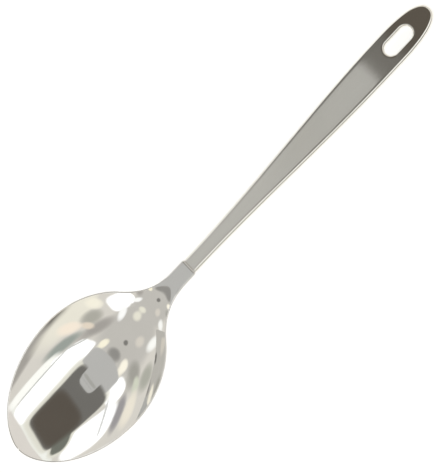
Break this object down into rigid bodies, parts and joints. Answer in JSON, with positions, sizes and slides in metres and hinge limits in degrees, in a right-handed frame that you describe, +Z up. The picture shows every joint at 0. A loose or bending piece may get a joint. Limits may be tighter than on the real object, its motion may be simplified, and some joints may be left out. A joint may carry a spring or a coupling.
{
  "type": "serving spoon",
  "caption": "Long stainless steel serving spoon: a deep polished oval bowl welded into a hollow satin handle with an oblong hanging slot.",
  "frame": {"origin": "on the table under the middle of the spoon's length, where the underside of the bowl and the end of the handle rest", "axes": "+X from the tip of the bowl to the end of the handle, +Z up out of the open bowl, +Y to the left seen from the tip"},
  "size_m": [0.3402, 0.0782, 0.0205],
  "materials": {
    "polished_steel": "mirror polished stainless steel",
    "satin_steel": "fine satin stainless steel, brushed along the handle"
  },
  "bodies": {
    "root": {"bowl": "polished_steel", "handle_front": "satin_steel", "handle_back": "satin_steel"}
  },
  "joints": []
}
